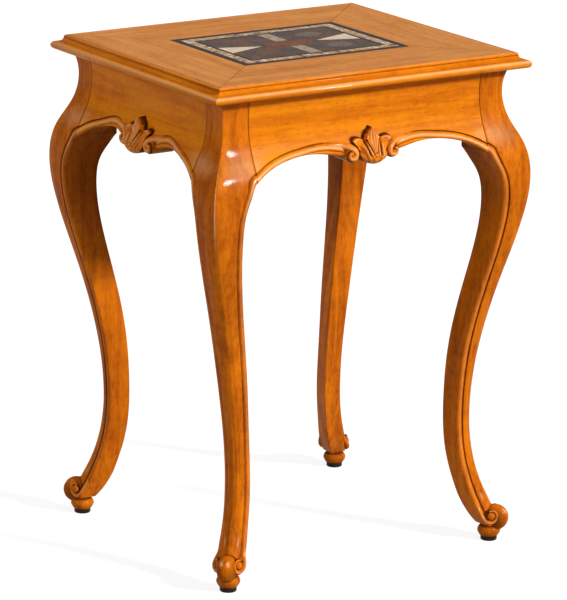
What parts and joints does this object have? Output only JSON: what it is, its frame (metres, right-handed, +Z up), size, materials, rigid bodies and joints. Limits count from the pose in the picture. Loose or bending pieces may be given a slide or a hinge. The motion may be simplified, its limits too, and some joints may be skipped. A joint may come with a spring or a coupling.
{
  "type": "side table",
  "caption": "Rectangular side table with a stone-inlaid moulded top, curved apron frame with carved palmettes and cabriole legs ending in scroll feet.",
  "frame": {"origin": "on the floor, under the middle of the table", "axes": "+Z up, +X to the right along the long side, -Y the front long side"},
  "size_m": [0.4892, 0.4258, 0.66],
  "materials": {
    "top_wood": "satin lacquer over fine straight-grained veneer, mitred",
    "moulding_wood": "satin lacquer, honey brown",
    "leg_wood": "glossy honey-amber lacquer, darker in the recesses",
    "apron_wood": "glossy honey-amber lacquer, darker in the recesses",
    "carving_wood": "carved, dark rubbed into the recesses",
    "core_wood": "bare sawn wood, not seen",
    "black_stone": "polished black stone",
    "mosaic_stone": "polished small cream and tan tesserae",
    "field_stone": "polished dark speckled stone",
    "cream_stone": "polished cream stone",
    "speckled_stone": "polished grey-tan speckled stone",
    "round_stone": "polished brown and grey stones",
    "centre_stone": "polished reddish-brown speckled stone",
    "glide": "dark brown-black hard foot",
    "steel": "plain steel"
  },
  "bodies": {
    "root": {"apron_back": "apron_wood", "apron_front": "apron_wood", "apron_left": "apron_wood", "apron_right": "apron_wood", "black_strip_back": "black_stone", "black_strip_front": "black_stone", "black_strip_left": "black_stone", "black_strip_right": "black_stone", "cabochon_back_left": "round_stone", "cabochon_back_right": "round_stone", "cabochon_front_left": "round_stone", "cabochon_front_right": "round_stone", "centre_lozenge": "centre_stone", "corner_block_back_left": "core_wood", "corner_block_back_right": "core_wood", "corner_block_front_left": "core_wood", "corner_block_front_right": "core_wood", "corner_block_screws": "steel", "cream_wedge_left": "cream_stone", "cream_wedge_right": "cream_stone", "edge_moulding_back": "moulding_wood", "edge_moulding_front": "moulding_wood", "edge_moulding_left": "moulding_wood", "edge_moulding_right": "moulding_wood", "glide_back_left": "glide", "glide_back_right": "glide", "glide_front_left": "glide", "glide_front_right": "glide", "glide_nails": "steel", "inner_strip_back": "black_stone", "inner_strip_front": "black_stone", "inner_strip_left": "black_stone", "inner_strip_right": "black_stone", "leg_back_left": "leg_wood", "leg_back_right": "leg_wood", "leg_front_left": "leg_wood", "leg_front_right": "leg_wood", "mosaic_strip_back": "mosaic_stone", "mosaic_strip_front": "mosaic_stone", "mosaic_strip_left": "mosaic_stone", "mosaic_strip_right": "mosaic_stone", "palmette_back": "carving_wood", "palmette_front": "carving_wood", "palmette_left": "carving_wood", "palmette_right": "carving_wood", "speckled_bar_back": "speckled_stone", "speckled_bar_front": "speckled_stone", "stone_field": "field_stone", "top_border_back": "top_wood", "top_border_front": "top_wood", "top_border_left": "top_wood", "top_border_right": "top_wood", "top_core": "core_wood", "top_screws": "steel"}
  },
  "joints": []
}
